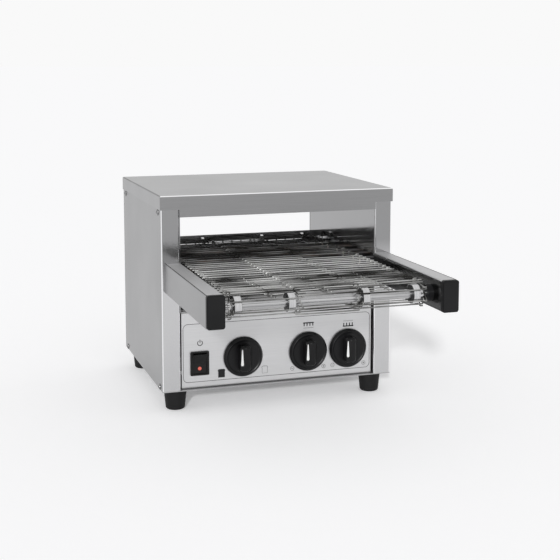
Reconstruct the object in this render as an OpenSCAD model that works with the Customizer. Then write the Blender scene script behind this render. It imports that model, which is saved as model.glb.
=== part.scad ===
// Conveyor toaster: a sheet-steel tunnel with heating elements over and under an endless wire belt.
// The belt starts on two rails in front of the body, runs through the tunnel and returns below itself.
// Lengths are millimetres. Inside place(), y = 0 is the front face of the columns and z = 0 the underside.

/* [Body] */
// Width over the top cover
body_w = 312; // [306:1:330]
// Depth of the side panels
body_d = 253; // [250:1:275]
// Height of the body without its feet
body_h = 250; // [246:1:275]
// Sheet thickness of the casing
sheet = 1.2; // [0.9:0.1:1.5]
// Outside radius of the bends in the sheet
bend_r = 2.2; // [1.8:0.2:3]
// Width of the column at each side of the tunnel mouth
column_w = 24.6; // [23:0.2:27]
// Depth of the front lip of the top cover
lip_h = 27.6; // [24:0.2:30]
// Depth of the side flanges of the top cover
flange_h = 18; // [14:0.5:20]
// Width of the folded-in edges of the panels
fold_w = 12; // [8:1:14]
// Thickness of the polished tunnel walls
wall_t = 0.8; // [0.6:0.1:1.2]
// Depth of the tunnel roof under the top of the body
roof_drop = 18; // [16:1:22]
// Height of the screw rows over the underside and under the top cover
screw_inset = 4; // [3.8:0.1:5]
// Radius of the side screw heads
screw_head_r = 3.5; // [3:0.1:3.8]
// Radius of the side screw shanks
screw_r = 1.9; // [1.5:0.1:2.2]

/* [Feet] */
// Height of the feet
foot_h = 27; // [20:1:40]
// Radius of a foot where it meets the body
foot_top_r = 15; // [13:0.5:18]
// Radius of a foot near the floor
foot_low_r = 12.5; // [10:0.5:13]
// Distance of a foot's centre from the side and from the front or back
foot_inset = 22; // [20:1:30]

/* [Front panel] */
// Height of the front panel
panel_h = 100; // [96:1:106]
// How far the front panel lies behind the columns
panel_back = 5; // [4:0.5:8]
// Gap between the front panel and a column
panel_gap = 2.4; // [1:0.2:3]
// Height of the knob centres
knob_z = 38; // [34:1:46]
// Distance of the speed knob from the panel's left end
speed_in = 80.7; // [77:0.1:84]
// Distance of the top heat knob from the panel's right end
top_heat_in = 88.8; // [88:0.1:92]
// Distance of the bottom heat knob from the panel's right end
bottom_heat_in = 33.2; // [30:0.1:34]
// Radius of a knob's skirt
knob_r = 26; // [22:0.5:27]
// Height of a knob's skirt over its back
skirt_h = 5; // [3.5:0.5:7]
// Height of a whole knob over its back
knob_h = 17; // [14:0.5:20]
// Width of a knob's grip
grip_w = 13.5; // [11:0.5:16]
// Length of a knob's grip
grip_l = 33; // [28:0.5:38]
// Gap between a knob and the panel
knob_gap = 0.8; // [0.4:0.1:0.9]
// Radius of a control's shaft
control_r = 3; // [2.5:0.1:3.5]
// Width of a control's housing
control_w = 34; // [28:1:38]
// Depth of a control's housing
control_d = 26; // [20:1:32]
// Distance of the switch from the panel's left end
switch_in = 23.2; // [21:0.1:25]
// Height of the switch's centre
switch_z = 33.6; // [30:0.2:44]
// Width of the switch bezel
bezel_w = 24.4; // [20:0.2:25]
// Height of the switch bezel
bezel_h = 31.2; // [28:0.2:34]
// Width of the rocker
rocker_w = 18; // [14:0.5:19]
// Height of the rocker
rocker_h = 25; // [20:0.5:26]
// Depth of the switch behind the panel
switch_d = 22; // [18:1:26]
// Length and spacing of the switch's terminals
tab_l = 8; // [6:0.5:10]
tab_step = 7; // [6:0.5:8]
// Travel of the rocker
rocker_travel = 14; // [10:1:18]

/* [Rails] */
// Width of a rail
rail_w = 20; // [18:0.5:24]
// Height of a rail
rail_h = 37; // [35:0.5:42]
// Length of a rail in front of the body
rail_l = 202; // [200:1:230]
// Height of the rails' underside
rail_z = 127.5; // [126.5:0.5:128]
// Wall of a rail
rail_t = 1.5; // [1:0.1:2]
// Width of the lips of a rail's cover, and their distance from its front end
lip_w = 8; // [6:0.5:10]
lip_back = 14; // [13:1:18]
// Thickness of a rail's end cap
cap_t = 6; // [4:0.5:8]
// How far a rail's inner face stands inside the tunnel wall
rail_in = 1.1; // [0.8:0.1:2]

/* [Belt] */
// Spacing of the belt wires, and the radius of the belt at its turns
pitch = 13; // [12.5:0.25:13.5]
// Thickness of the belt wires
wire_d = 1.7; // [1.5:0.1:1.8]
// Least gap where one wire passes under the next
wire_gap = 0.12; // [0.1:0.01:0.2]
// Distance of the belt's edge bends from the rails
belt_gap = 9.4; // [9:0.1:13]
// Distance of a Z joint from the middle of the belt
joint_x = 35.5; // [33:0.5:36]
// Half the width of a Z joint
joint_half = 3.5; // [3:0.1:3.8]
// How far a wire reaches past the next one
hook_u = 3.2; // [2.8:0.1:4]
// Length of the turned-back end of an edge hook
hook_l = 4; // [3:0.2:4.6]
// Height of the belt's shafts
axis_z = 145; // [144:0.5:146]
// Distance of the drive shaft from the back of the side panels
drive_back = 23.6; // [23:0.1:28]
// Least distance of the idler shaft from the rails' front ends
nose = 28; // [26:0.5:34]

/* [Shafts] */
// Radius of the idler shaft
idler_r = 4; // [3:0.2:5]
// Radius of the idler tube
tube_r = 5.4; // [5.2:0.1:8.8]
// Distance of the outer rims from the belt's edge bends
rim_in = 12.1; // [11.4:0.1:16]
// Distance of the inner rims from the middle
rim_inner_x = 45; // [44.5:0.5:50]
// Width of a rim
rim_w = 8; // [6:0.5:8]
// Gap between the wires and the rims
rim_gap = 0.2; // [0.15:0.05:0.4]
// Radius of the drive shaft
drive_r = 5; // [4:0.2:5.5]
// Thickness of a belt sprocket
sprocket_t = 4; // [3:0.5:5]
// Clearance of a turning shaft in its bearing
run_gap = 0.05; // [0.03:0.01:0.08]
// Clearance between pieces that are pressed together
press_gap = 0.02; // [0.01:0.01:0.04]
// Outside radius of the bearings
bearing_r = 8; // [7:0.2:8.5]
// Radius of the bearing flanges
bearing_flange_r = 10; // [9.4:0.2:10.5]
// Reach of the idler bearings inside the rails
boss_l = 7; // [4:0.5:7]

/* [Drive] */
// Pitch of the drive chain
chain_pitch = 8; // [7.5:0.25:8]
// Links in one straight stretch of the chain
chain_run = 11; // [10:1:11]
// Radius of the chain rollers
roller_r = 2.2; // [1.9:0.1:2.3]
// Radius of the chain pins
pin_r = 1.1; // [0.8:0.1:1.2]
// Thickness of the chain plates
plate_t = 0.7; // [0.5:0.1:0.8]
// Inner width of the chain
chain_w = 3.2; // [3:0.1:3.6]
// Gap between the moving parts of the chain
chain_gap = 0.1; // [0.06:0.02:0.16]
// Radius of the motor output shaft
output_r = 4; // [3.5:0.1:5]
// Radius of the motor can
motor_r = 27; // [24:1:28]
// Length of the motor can
motor_l = 56; // [44:1:64]
// Width and half the height of the gearbox
gear_w = 36; // [30:1:40]
gear_half = 26; // [22:1:28]
// Reach of the gearbox in front of and behind its output shaft
gear_front = 50; // [44:1:56]
gear_rear = 18; // [16:1:20]
// Distance from the gearbox to the chain, and from the motor's axis to the output shaft
gear_gap = 9; // [8:0.5:10]
gear_offset = 26; // [20:1:30]
// Width of the feet of the motor bracket
bracket_foot = 12; // [10:1:16]

/* [Heating] */
// Radius of the sheathed elements
element_r = 3.2; // [2.8:0.1:3.6]
// Radius of the bend in an element
element_bend = 12; // [9:0.5:14]
// Distance from one element to the next
element_step = 62; // [56:1:66]
// Depth of the top elements under the tunnel roof
top_element_drop = 11; // [10:0.5:13]
// Radius of the element bushes
bush_r = 6; // [5.4:0.1:7]

/* [Crumb tray] */
// Distance of the crumb tray from the tunnel walls
tray_side = 8.6; // [7.6:0.1:15]
// Height of the crumb tray
tray_h = 12; // [8:0.5:14]
// Distance of the crumb tray's front from the columns
tray_back = 18; // [16:1:24]
// Gap round the crumb tray
tray_gap = 0.3; // [0.2:0.05:0.4]
// Sheet thickness of the crumb tray
tray_t = 0.8; // [0.6:0.1:1]

/* [Back] */
// Distance of the cable gland from the side
gland_in = 38; // [34:1:46]
// Height of the cable gland
gland_z = 30; // [24:1:36]
// Radius of the cable gland's body
gland_r = 8; // [7:0.5:9]
// Radius of the hole for the cable
cable_r = 4; // [3:0.5:5]
// How far the gland stands out at the back
gland_out = 9; // [7:0.5:12]
// Length of a vent slot
slot_l = 12; // [9:0.5:12]
// Height of a vent slot
slot_h = 4; // [3:0.5:5]
// Spacing of the vent slots
slot_step = 14; // [13.5:0.5:16]
// Distance of the first row of base slots from the columns
slot_first = 70; // [60:1:80]
// Spacing of the rows of base slots
slot_row = 40; // [36:1:44]
// Height of the lower rows of slots in the rear panel
slot_low = 50; // [46:1:60]

/* [Terminal block] */
// Distance of the terminal block from the middle and from the columns
terminal_at = [70, 180]; // [20:1:200]
// Width, depth and height of its foot
terminal_foot = [60, 22, 8]; // [4:0.5:80]
// Depth and height of its raised middle
terminal_top = [7, 16]; // [4:0.5:20]

/* [Hidden] */
$fn = 48;
steel = "#b9bcc0";
polished = "#d5d8dc";
dark = "#232426";
far = 400;                                   // longer than any piece that it cuts
eps = 0.5;                                   // overrun of a cut past a face
half_w = body_w / 2;
side_x = half_w - sheet;                     // outer face of a side panel
column_x = half_w - column_w;                // inner edge of a column
tunnel_x = column_x - wall_t;                // inner face of a tunnel wall
back_y = body_d + sheet;                     // outer face of the rear panel
cover_z = body_h - flange_h;                 // lower edge of the cover's side flanges
panel_y = panel_back;                        // face of the front panel
panel_x = column_x - panel_gap;              // ends of the front panel
roof_z = body_h - roof_drop;                 // underside of the tunnel roof
speed_x = speed_in - panel_x;
switch_x = switch_in - panel_x;
top_heat_x = panel_x - top_heat_in;
bottom_heat_x = panel_x - bottom_heat_in;
gland_x = gland_in - half_w;
tray_w = 2 * (tunnel_x - tray_side);
deck_z = panel_h + sheet;                    // top of the deck plate
turn_r = pitch;                              // six wires to a full turn
rear_y = body_d - drive_back;
run_n = floor((rear_y + rail_l - nose) / pitch);
front_y = rear_y - run_n * pitch;
wire_n = 2 * run_n + 6;
reach_u = pitch + hook_u;
wire_tilt = asin((1.18 * wire_d + wire_gap) / pitch);    // a wire's section is turned to its neighbour's on a bend
wire_lift = wire_d + wire_gap - hook_u * tan(wire_tilt) + 0.1 * wire_d;
edge_in = 1.6 * joint_half;                  // how far a hook is drawn in from the belt's edge
wire_corner = wire_d * 0.71;                 // half the diagonal of a wire's section
rim_r = turn_r - wire_corner - rim_gap;
rail_x = tunnel_x - rail_in;                 // inner face of a rail
belt_half = rail_x - belt_gap;               // from the middle of the belt to its edge bends
rim_outer_x = belt_half - rim_in;
sprocket_n = 12;
chain_r = chain_pitch / 2 / sin(180 / sprocket_n);
motor_z = axis_z - chain_run * chain_pitch;
chain_x = (column_x + side_x - sheet) / 2;   // the chain runs in the middle of the side cavity
bottom_element_z = axis_z;
top_element_z = roof_z - top_element_drop;
element_ys = [for (i = [-1:1]) body_d / 2 + i * element_step];
screw_ys = [17, body_d - 17];
screw_zs = [screw_inset, cover_z - screw_inset];
front_end = -rail_l - cap_t;
y_middle = (front_end + back_y + gland_out) / 2;
knob_xs = [speed_x, top_heat_x, bottom_heat_x];
knob_back = panel_y - knob_gap;              // back of a knob's skirt

// Stands the object on z = 0 with the middle of its length at y = 0
module place() {
    translate([0, -y_middle, foot_h]) children();
}

// Box between two corners
module block(low, high) {
    translate(low) cube(high - low);
}

// Cylinder along x from x0 to x1 about the point y, z
module bar_x(x0, x1, y, z, r) {
    translate([x0, y, z]) rotate([0, 90, 0]) cylinder(h = x1 - x0, r = r);
}

// Cylinder along y from y0 to y1 about the point x, z
module bar_y(x, y0, y1, z, r) {
    translate([x, y1, z]) rotate([90, 0, 0]) cylinder(h = y1 - y0, r = r);
}

// Flat rectangle between two corners with its corners rounded by r
module rounded(low, high, r) {
    translate([low[0] + r, low[1]]) square([high[0] - low[0] - 2 * r, high[1] - low[1]]);
    translate([low[0], low[1] + r]) square([high[0] - low[0], high[1] - low[1] - 2 * r]);
    for (x = [low[0] + r, high[0] - r], y = [low[1] + r, high[1] - r]) translate([x, y]) circle(r);
}

// Flat ring of sheet: a rounded rectangle less the same one a sheet further in
module bent_sheet(low, high, t, r) {
    difference() {
        rounded(low, high, r);
        rounded(low + [t, t], high - [t, t], max(r - t, 0.3));
    }
}

// Extrudes a flat shape drawn in y and z along x
module along_x(x0, x1) {
    translate([x0, 0, 0]) rotate([90, 0, 90]) linear_extrude(x1 - x0) children();
}

// Extrudes a flat shape drawn in x and z along y
module along_y(y0, y1) {
    translate([0, y1, 0]) rotate([90, 0, 0]) linear_extrude(y1 - y0) children();
}

module mirrored() {
    children();
    mirror([1, 0, 0]) children();
}

// ---- casing ----

module side_panel_right() {
    color(steel) place() difference() {
        translate([0, 0, sheet]) linear_extrude(body_h - 2 * sheet - bend_r) difference() {
            bent_sheet([column_x, 0], [side_x, body_d], sheet, bend_r);
            translate([column_x - eps, fold_w]) square([sheet + 2 * eps, far]);
            translate([column_x - eps, body_d / 2]) square([bend_r + 2 * eps, far]);
        }
        for (y = screw_ys, z = screw_zs) bar_x(side_x - 2 * sheet, half_w, y, z, screw_r + run_gap);
    }
}

module side_panel_left() mirror([1, 0, 0]) side_panel_right();

// Solid of the cover's outside, drawn in by d
module cover_form(d) {
    intersection() {
        along_y(-sheet + d, back_y - d)
            rounded([-half_w + d, body_h - far], [half_w - d, body_h - d], bend_r - d + 0.1);
        along_x(-half_w + d, half_w - d)
            rounded([-sheet + d, body_h - far], [back_y - d, body_h - d], bend_r - d + 0.1);
    }
}

module top_cover() {
    color(steel) place() {
        difference() {
            cover_form(0);
            cover_form(sheet);
            block([-half_w - eps, -far, body_h - 2 * far], [half_w + eps, far, body_h - lip_h]);
            for (s = [-1, 1]) block([min(s * column_x, s * far), -far, 0], [max(s * column_x, s * far), far, cover_z]);
            block([-half_w, fold_w, 0], [half_w, far, cover_z]);
        }
        block([-column_x, -sheet, body_h - lip_h], [column_x, fold_w / 2, body_h - lip_h + sheet]);
    }
}

module base_plate() {
    color(steel) place() difference() {
        union() {
            block([-side_x, 0, 0], [side_x, body_d, sheet]);
            mirrored() block([side_x - 2 * sheet, fold_w + 1, 0], [side_x - sheet, body_d - sheet - bend_r, fold_w]);
        }
        for (y = screw_ys, s = [-1, 1])
            bar_x(s * side_x - 3 * sheet, s * side_x + 3 * sheet, y, screw_inset, screw_r + run_gap);
        for (i = [-8:8], k = [0:2]) block(
            [i * slot_step - slot_h / 2, slot_first + k * slot_row, -eps],
            [i * slot_step + slot_h / 2, slot_first + k * slot_row + slot_l * 2, sheet + eps]
        );
        for (x = foot_xs, y = foot_ys) translate([x, y, -eps]) cylinder(h = 3 * sheet, r = 2.6);
    }
}

foot_xs = [foot_inset - half_w, half_w - foot_inset];
foot_ys = [foot_inset, body_d - foot_inset];

// A foot with its rounded lower edge and the screw that holds it
module feet() {
    edge = 3;
    color(dark) place() for (x = foot_xs, y = foot_ys) translate([x, y, -foot_h]) {
        rotate_extrude() {
            translate([0, edge]) polygon([[0, 0], [foot_low_r, 0], [foot_top_r, foot_h - edge], [0, foot_h - edge]]);
            square([foot_low_r - edge, edge + 0.1]);
            intersection() {
                translate([foot_low_r - edge, edge]) circle(edge);
                square([foot_low_r, edge]);
            }
        }
        cylinder(h = foot_h + 3 * sheet, r = 2.5);
        translate([0, 0, foot_h + sheet]) cylinder(h = 3, r = 4.4, $fn = 6);
    }
}

module front_panel() {
    color(steel) place() difference() {
        along_x(-panel_x, panel_x) difference() {
            bent_sheet([panel_y, sheet], [panel_y + 2 * fold_w, panel_h], sheet, bend_r);
            translate([panel_y + fold_w, 0]) square([far, far]);
        }
        for (x = knob_xs) bar_y(x, 0, 2 * panel_y, knob_z, control_bush_r + run_gap);
        block(
            [switch_x - switch_body_w / 2, 0, switch_z - switch_body_h / 2],
            [switch_x + switch_body_w / 2, 2 * panel_y, switch_z + switch_body_h / 2]
        );
    }
}

exit_z = axis_z + turn_r + wire_corner;
vent_z = axis_z + 3;

module rear_panel() {
    x = side_x;
    color(steel) place() difference() {
        block([-x, body_d, 0], [x, back_y, cover_z]);
        block([-tunnel_x, 0, exit_z], [tunnel_x, far, body_h - lip_h]);
        for (i = [-8:8])
            block([i * slot_step - slot_l / 2, 0, vent_z - slot_h / 2], [i * slot_step + slot_l / 2, far, vent_z + slot_h / 2]);
        for (i = [-5:5], k = [0:3]) let (x = i * slot_step * 1.4, z = slot_low + k * 3 * slot_h)
            block([x - slot_l / 2, 0, z], [x + slot_l / 2, far, z + slot_h]);
        bar_y(gland_x, 0, far, gland_z, gland_r + press_gap);
    }
}

// Floor of the tunnel over the controls, with a slot for the drive chain
module deck_plate() {
    wall_x = side_x - sheet;
    color(steel) place() difference() {
        union() {
            block([-panel_x, panel_y + sheet, panel_h], [panel_x, 2 * fold_w, deck_z]);
            block([-wall_x, fold_w + 1, panel_h], [wall_x, body_d - sheet, deck_z]);
        }
        block(
            [chain_x - 6, rear_y - chain_r - 6, panel_h - eps],
            [chain_x + 6, rear_y + chain_r + 6, deck_z + eps]
        );
    }
}

module tunnel_wall_right() {
    color(polished) place() difference() {
        union() {
            block([tunnel_x, 0, deck_z], [column_x, body_d - sheet, roof_z]);
            block([tunnel_x, fold_w + 2, roof_z - wall_t], [column_x + fold_w, body_d - sheet, roof_z]);
        }
        bar_x(0, far, rear_y, axis_z, bearing_r + press_gap);
        for (y = element_ys, s = [-1, 1], z = [top_element_z, bottom_element_z])
            bar_x(0, far, y + s * element_bend, z, bush_r - 1.5);
    }
}

module tunnel_wall_left() {
    color(polished) place() mirror([1, 0, 0]) difference() {
        union() {
            block([tunnel_x, 0, deck_z], [column_x, body_d - sheet, roof_z]);
            block([tunnel_x, fold_w + 2, roof_z - wall_t], [column_x + fold_w, body_d - sheet, roof_z]);
        }
        bar_x(0, far, rear_y, axis_z, bearing_r + press_gap);
    }
}

module tunnel_roof() {
    color(polished) place() {
        block([-column_x, fold_w, roof_z], [column_x, body_d - sheet, roof_z + wall_t]);
        block([-tunnel_x, fold_w, roof_z - fold_w / 2], [tunnel_x, fold_w + wall_t, roof_z]);
    }
}

module insulation_blanket() {
    color("#d8d2c0") place() along_x(-column_x, column_x)
        rounded([fold_w + 4, roof_z + wall_t], [body_d - 6, body_h - sheet], 4);
}

// Dome-headed screws through the side panels, into the base plate's edges and under the cover
module side_screws() {
    color(polished) place() mirrored() for (y = screw_ys, z = screw_zs) {
        bar_x(side_x - 2 * sheet - 2, side_x + 0.1, y, z, screw_r);
        translate([side_x, y, z]) rotate([0, 90, 0]) intersection() {
            translate([0, 0, 2 - 4.1]) sphere(4.1, $fn = 64);
            cylinder(h = 4, r = screw_head_r);
        }
    }
}

// ---- rails ----

module rail_channel_right() {
    high_x = rail_x + rail_w;
    color(steel) place() difference() {
        along_y(-rail_l, 0) difference() {
            bent_sheet([rail_x, rail_z], [high_x, rail_z + rail_h], rail_t, bend_r);
            translate([high_x - rail_t, 0]) square([far, far]);
        }
        bar_x(rail_x - eps, rail_x + 2 * rail_t, front_y, axis_z, bearing_r + press_gap);
    }
}

module rail_channel_left() mirror([1, 0, 0]) rail_channel_right();

// Outer plate of a rail, set a hair under the channel's top bend
module rail_cover_right() {
    high_x = rail_x + rail_w;
    seam = 0.4;
    color(steel) place() {
        block([high_x - rail_t, -rail_l, rail_z], [high_x, 0, rail_z + rail_h - seam]);
        for (z = [rail_z + rail_t + 0.8, rail_z + rail_h - rail_t - 1.8])
            block([high_x - rail_t - lip_w, lip_back - rail_l, z], [high_x - rail_t, -eps, z + 1]);
    }
}

module rail_cover_left() mirror([1, 0, 0]) rail_cover_right();

// End cap: a rounded plate with a plug inside the rail
module rail_cap_right() {
    high_x = rail_x + rail_w;
    proud = 0.3;
    color(dark) place() {
        along_y(-rail_l - cap_t + 1, -rail_l)
            rounded([rail_x - proud, rail_z - proud], [high_x + proud, rail_z + rail_h + proud], 3);
        along_y(front_end, -rail_l - cap_t + 1)
            rounded([rail_x + 0.6, rail_z + 0.6], [high_x - 0.6, rail_z + rail_h - 0.6], 2.4);
        along_y(-rail_l, -rail_l + 12)
            rounded([rail_x + rail_t + 0.1, rail_z + rail_t + 0.1], [high_x - rail_t - 0.1, rail_z + rail_h - rail_t - 0.1], 1.5);
    }
}

module rail_cap_left() mirror([1, 0, 0]) rail_cap_right();

// ---- conveyor ----

function unit(v) = v / norm(v);
function normal(v) = [-v[1], v[0]];
function reversed(list) = [for (i = [len(list) - 1:-1:0]) list[i]];

// One side of a ribbon of width w about a path, with mitred corners
function edge(path, w) = [
    for (i = [0:len(path) - 1])
        let (
            before = unit(path[max(i, 1)] - path[max(i, 1) - 1]),
            after = unit(path[min(i, len(path) - 2) + 1] - path[min(i, len(path) - 2)]),
            n = unit(normal(before) + normal(after))
        ) path[i] + n * w / 2 / (n * normal(before))
];

// One side of a belt wire, from its edge hook to its Z joint. The second number runs towards the next wire.
wire_side = [
    [belt_half - edge_in, reach_u],
    [belt_half, 0.4 * wire_d],
    [belt_half - 0.6 * wire_d, 0],
    [joint_x - joint_half, 0],
    [joint_x + joint_half, reach_u]
];

// Each side lies in a plane that dips under the next wire. Past that wire it turns up in a post, and the
// middle span and the ends of the hooks run back over the next wire's joints, so the two wires are linked.
module belt_wire() {
    far_u = reach_u * cos(wire_tilt);
    low_w = -reach_u * sin(wire_tilt) - wire_d * 0.6;
    bar_w = wire_lift - wire_d / 2;
    mirrored() {
        rotate([-wire_tilt, 0, 0]) translate([0, 0, -wire_d / 2]) linear_extrude(wire_d)
            polygon(concat(edge(wire_side, wire_d), reversed(edge(wire_side, -wire_d))));
        for (x = [joint_x + joint_half, belt_half - edge_in])
            block([x - wire_d / 2, far_u - wire_d / 2, low_w], [x + wire_d / 2, far_u + wire_d / 2, bar_w + wire_d]);
        block(
            [belt_half - edge_in, far_u - wire_d / 2, bar_w],
            [belt_half - edge_in + hook_l, far_u + wire_d / 2, bar_w + wire_d]
        );
    }
    x = joint_x + joint_half;
    block([-x, far_u - wire_d / 2, bar_w], [x, far_u + wire_d / 2, bar_w + wire_d]);
}

// Place and heading of wire k: along the top, round the drive shaft, back below, round the idler shaft
function wire_place(k) =
    k <= run_n ? [front_y + k * pitch, axis_z + turn_r, k < run_n ? 0 : -30]
    : k < run_n + 3
        ? let (a = 90 - 60 * (k - run_n)) [rear_y + turn_r * cos(a), axis_z + turn_r * sin(a), a - 120]
    : k <= 2 * run_n + 3
        ? [rear_y - (k - run_n - 3) * pitch, axis_z - turn_r, k < 2 * run_n + 3 ? -180 : -210]
    : let (a = 270 - 60 * (k - 2 * run_n - 3)) [front_y + turn_r * cos(a), axis_z + turn_r * sin(a), a - 120];

module conveyor_belt() {
    color(polished) place() for (k = [0:wire_n - 1])
        let (at = wire_place(k)) translate([0, at[0], at[1]]) rotate([at[2], 0, 0]) belt_wire();
}

rim_xs = [-rim_outer_x, -rim_inner_x, rim_inner_x, rim_outer_x];
idler_end = rail_x + rail_t + 4;

module idler_bearings() {
    color(dark) place() mirrored() difference() {
        union() {
            bar_x(rail_x - boss_l, rail_x, front_y, axis_z, bearing_flange_r);
            bar_x(rail_x - 1, rail_x + rail_t + 3, front_y, axis_z, bearing_r);
        }
        bar_x(0, far, front_y, axis_z, idler_r + run_gap);
    }
}

module idler_shaft() {
    color(polished) place() bar_x(-idler_end, idler_end, front_y, axis_z, idler_r);
}

module idler_tube() {
    x = rim_outer_x + rim_w / 2 + 2;
    color(polished) place() difference() {
        bar_x(-x, x, front_y, axis_z, tube_r);
        bar_x(-far, far, front_y, axis_z, idler_r + press_gap);
    }
}

module idler_hubs() {
    color(dark) place() for (x = rim_xs) difference() {
        bar_x(x - rim_w / 2 - 0.6, x + rim_w / 2 + 0.6, front_y, axis_z, rim_r - 1.2);
        bar_x(-far, far, front_y, axis_z, tube_r + press_gap);
    }
}

module idler_rims() {
    color(polished) place() for (x = rim_xs) difference() {
        bar_x(x - rim_w / 2, x + rim_w / 2, front_y, axis_z, rim_r);
        bar_x(-far, far, front_y, axis_z, rim_r - 1.2 + press_gap);
    }
}

module drive_bearings() {
    color("#b08d4f") place() mirrored() difference() {
        union() {
            bar_x(column_x, column_x + 2, rear_y, axis_z, bearing_flange_r);
            bar_x(tunnel_x - 1.5, column_x + 2, rear_y, axis_z, bearing_r);
        }
        bar_x(0, far, rear_y, axis_z, drive_r + run_gap);
    }
}

module drive_shaft() {
    color(polished) place() bar_x(-column_x - 3, chain_x + 5, rear_y, axis_z, drive_r);
}

// Twelve notches to a turn: every second one takes a wire, so the wheel seats at each half pitch
module belt_sprockets() {
    color(steel) place() for (x = rim_xs) translate([x - sprocket_t / 2, rear_y, axis_z])
        rotate([90, 0, 90]) linear_extrude(sprocket_t) difference() {
            circle(turn_r + 2);
            for (i = [0:sprocket_n - 1]) rotate(30 * i + 90) {
                translate([turn_r, 0]) circle(wire_corner + 0.3);
                translate([turn_r, -wire_corner - 0.3]) square([4, 2 * wire_corner + 0.6]);
            }
            circle(drive_r + press_gap);
        }
}

// Chain wheel about the point z, with a hub on a shaft of radius r
module chain_wheel(z, r) {
    translate([chain_x, rear_y, z]) rotate([90, 0, 90]) difference() {
        union() {
            translate([0, 0, -chain_w / 2 + 0.4]) linear_extrude(chain_w - 0.8) difference() {
                circle(chain_r + roller_r * 0.5);
                for (i = [0:sprocket_n - 1]) rotate(360 / sprocket_n * i) translate([chain_r, 0]) {
                    circle(roller_r + 0.15);
                    polygon([[0, -roller_r - 0.14], [4, -roller_r - 2], [4, roller_r + 2], [0, roller_r + 0.14]]);
                }
            }
            translate([0, 0, -4]) cylinder(h = 8, r = chain_r - roller_r - 3.6);
        }
        translate([0, 0, -far / 2]) cylinder(h = far, r = r + press_gap);
    }
}

module shaft_sprocket() color(dark) place() chain_wheel(axis_z, drive_r);

module motor_sprocket() color(dark) place() chain_wheel(motor_z, output_r);

// Place of the chain's roller k: up behind the shafts, over the top wheel, down and round the lower one
function roller_place(k) =
    let (turn = sprocket_n / 2)
    k <= chain_run ? [rear_y + chain_r, motor_z + k * chain_pitch]
    : k <= chain_run + turn
        ? let (a = (k - chain_run) * 180 / turn) [rear_y + chain_r * cos(a), axis_z + chain_r * sin(a)]
    : k <= 2 * chain_run + turn ? [rear_y - chain_r, axis_z - (k - chain_run - turn) * chain_pitch]
    : let (a = 180 + (k - 2 * chain_run - turn) * 180 / turn) [rear_y + chain_r * cos(a), motor_z + chain_r * sin(a)];

// One link from a to b: an inner one has the rollers, an outer one the pins through them
module chain_link(a, b, inner) {
    half = chain_w / 2;
    plate_x = inner ? half : half + plate_t + chain_gap;
    for (s = [-1, 1]) along_x(
        chain_x + s * (plate_x + plate_t / 2) - plate_t / 2,
        chain_x + s * (plate_x + plate_t / 2) + plate_t / 2
    ) difference() {
        union() {
            for (p = [a, b]) translate(p) circle(roller_r + 0.5);
            translate(a) rotate(atan2(b[1] - a[1], b[0] - a[0])) translate([0, -roller_r * 0.7])
                square([norm(b - a), roller_r * 1.4]);
        }
        if (inner) for (p = [a, b]) translate(p) circle(pin_r + chain_gap);
    }
    for (p = [a, b])
        if (inner) difference() {
            bar_x(chain_x - half, chain_x + half, p[0], p[1], roller_r);
            bar_x(chain_x - far, chain_x + far, p[0], p[1], pin_r + chain_gap);
        }
        else bar_x(chain_x - plate_x - 0.2, chain_x + plate_x + 0.2, p[0], p[1], pin_r);
}

module drive_chain() {
    n = 2 * chain_run + sprocket_n;
    color(dark) place() for (k = [0:n - 1])
        chain_link(roller_place(k), roller_place((k + 1) % n), k % 2 == 0);
}

gear_x = chain_x - gear_gap;                 // outer face of the gearbox

module output_shaft() {
    color(polished) place() bar_x(gear_x - 12, chain_x + 5, rear_y, motor_z, output_r);
}

gear_low = [gear_x - gear_w, rear_y - gear_front, motor_z - gear_half];
gear_high = [gear_x, rear_y + gear_rear, motor_z + gear_half];

module gearmotor() {
    motor_y = rear_y - gear_offset;
    color("#6f7377") place() difference() {
        union() {
            along_x(gear_low[0], gear_high[0])
                rounded([gear_low[1], gear_low[2]], [gear_high[1], gear_high[2]], 6);
            bar_x(gear_low[0] - motor_l, gear_low[0], motor_y, motor_z, motor_r - 2);
            for (i = [0:3]) bar_x(
                gear_low[0] - motor_l + 4 + i * (motor_l - 14) / 3, gear_low[0] - motor_l + 10 + i * (motor_l - 14) / 3,
                motor_y, motor_z, motor_r
            );
            bar_x(gear_x - 1, gear_x + 3, rear_y, motor_z, output_r + 4);
        }
        bar_x(gear_x - 13, far, rear_y, motor_z, output_r + run_gap);
    }
}

// Channel that lifts the gearbox off the base plate
module motor_bracket() {
    color(steel) place() along_x(gear_low[0] + 2, gear_high[0] - 2) difference() {
        bent_sheet([gear_low[1] + 4, sheet], [gear_high[1] - 4, gear_low[2]], 1.5, 3);
        translate([gear_low[1] + 4 + bracket_foot, 0])
            square([gear_high[1] - gear_low[1] - 8 - 2 * bracket_foot, 2 * sheet]);
    }
}

// ---- heating ----

// Hairpins: two straight runs joined by a bend near the left wall, with their ends out through the right
module elements(z) {
    bend_x = -tunnel_x + element_bend + element_r + 4;
    end_x = column_x + 8;
    for (y = element_ys) {
        for (s = [-1, 1]) {
            bar_x(bend_x, end_x, y + s * element_bend, z, element_r);
            bar_x(end_x, end_x + 6, y + s * element_bend, z, 1.2);
        }
        translate([bend_x, y, z]) rotate([0, 0, 90]) rotate_extrude(angle = 180)
            translate([element_bend, 0]) circle(element_r);
    }
}

module top_elements() color("#6b6460") place() elements(top_element_z);

module bottom_elements() color("#6b6460") place() elements(bottom_element_z);

module element_bushes() {
    color("#e6e1d6") place()
        for (y = element_ys, s = [-1, 1], z = [top_element_z, bottom_element_z]) difference() {
            union() {
                bar_x(column_x, column_x + 4, y + s * element_bend, z, bush_r);
                bar_x(tunnel_x - 1, column_x + 4, y + s * element_bend, z, bush_r - 1.5 - press_gap);
            }
            bar_x(0, far, y + s * element_bend, z, element_r + press_gap);
        }
}

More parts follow.
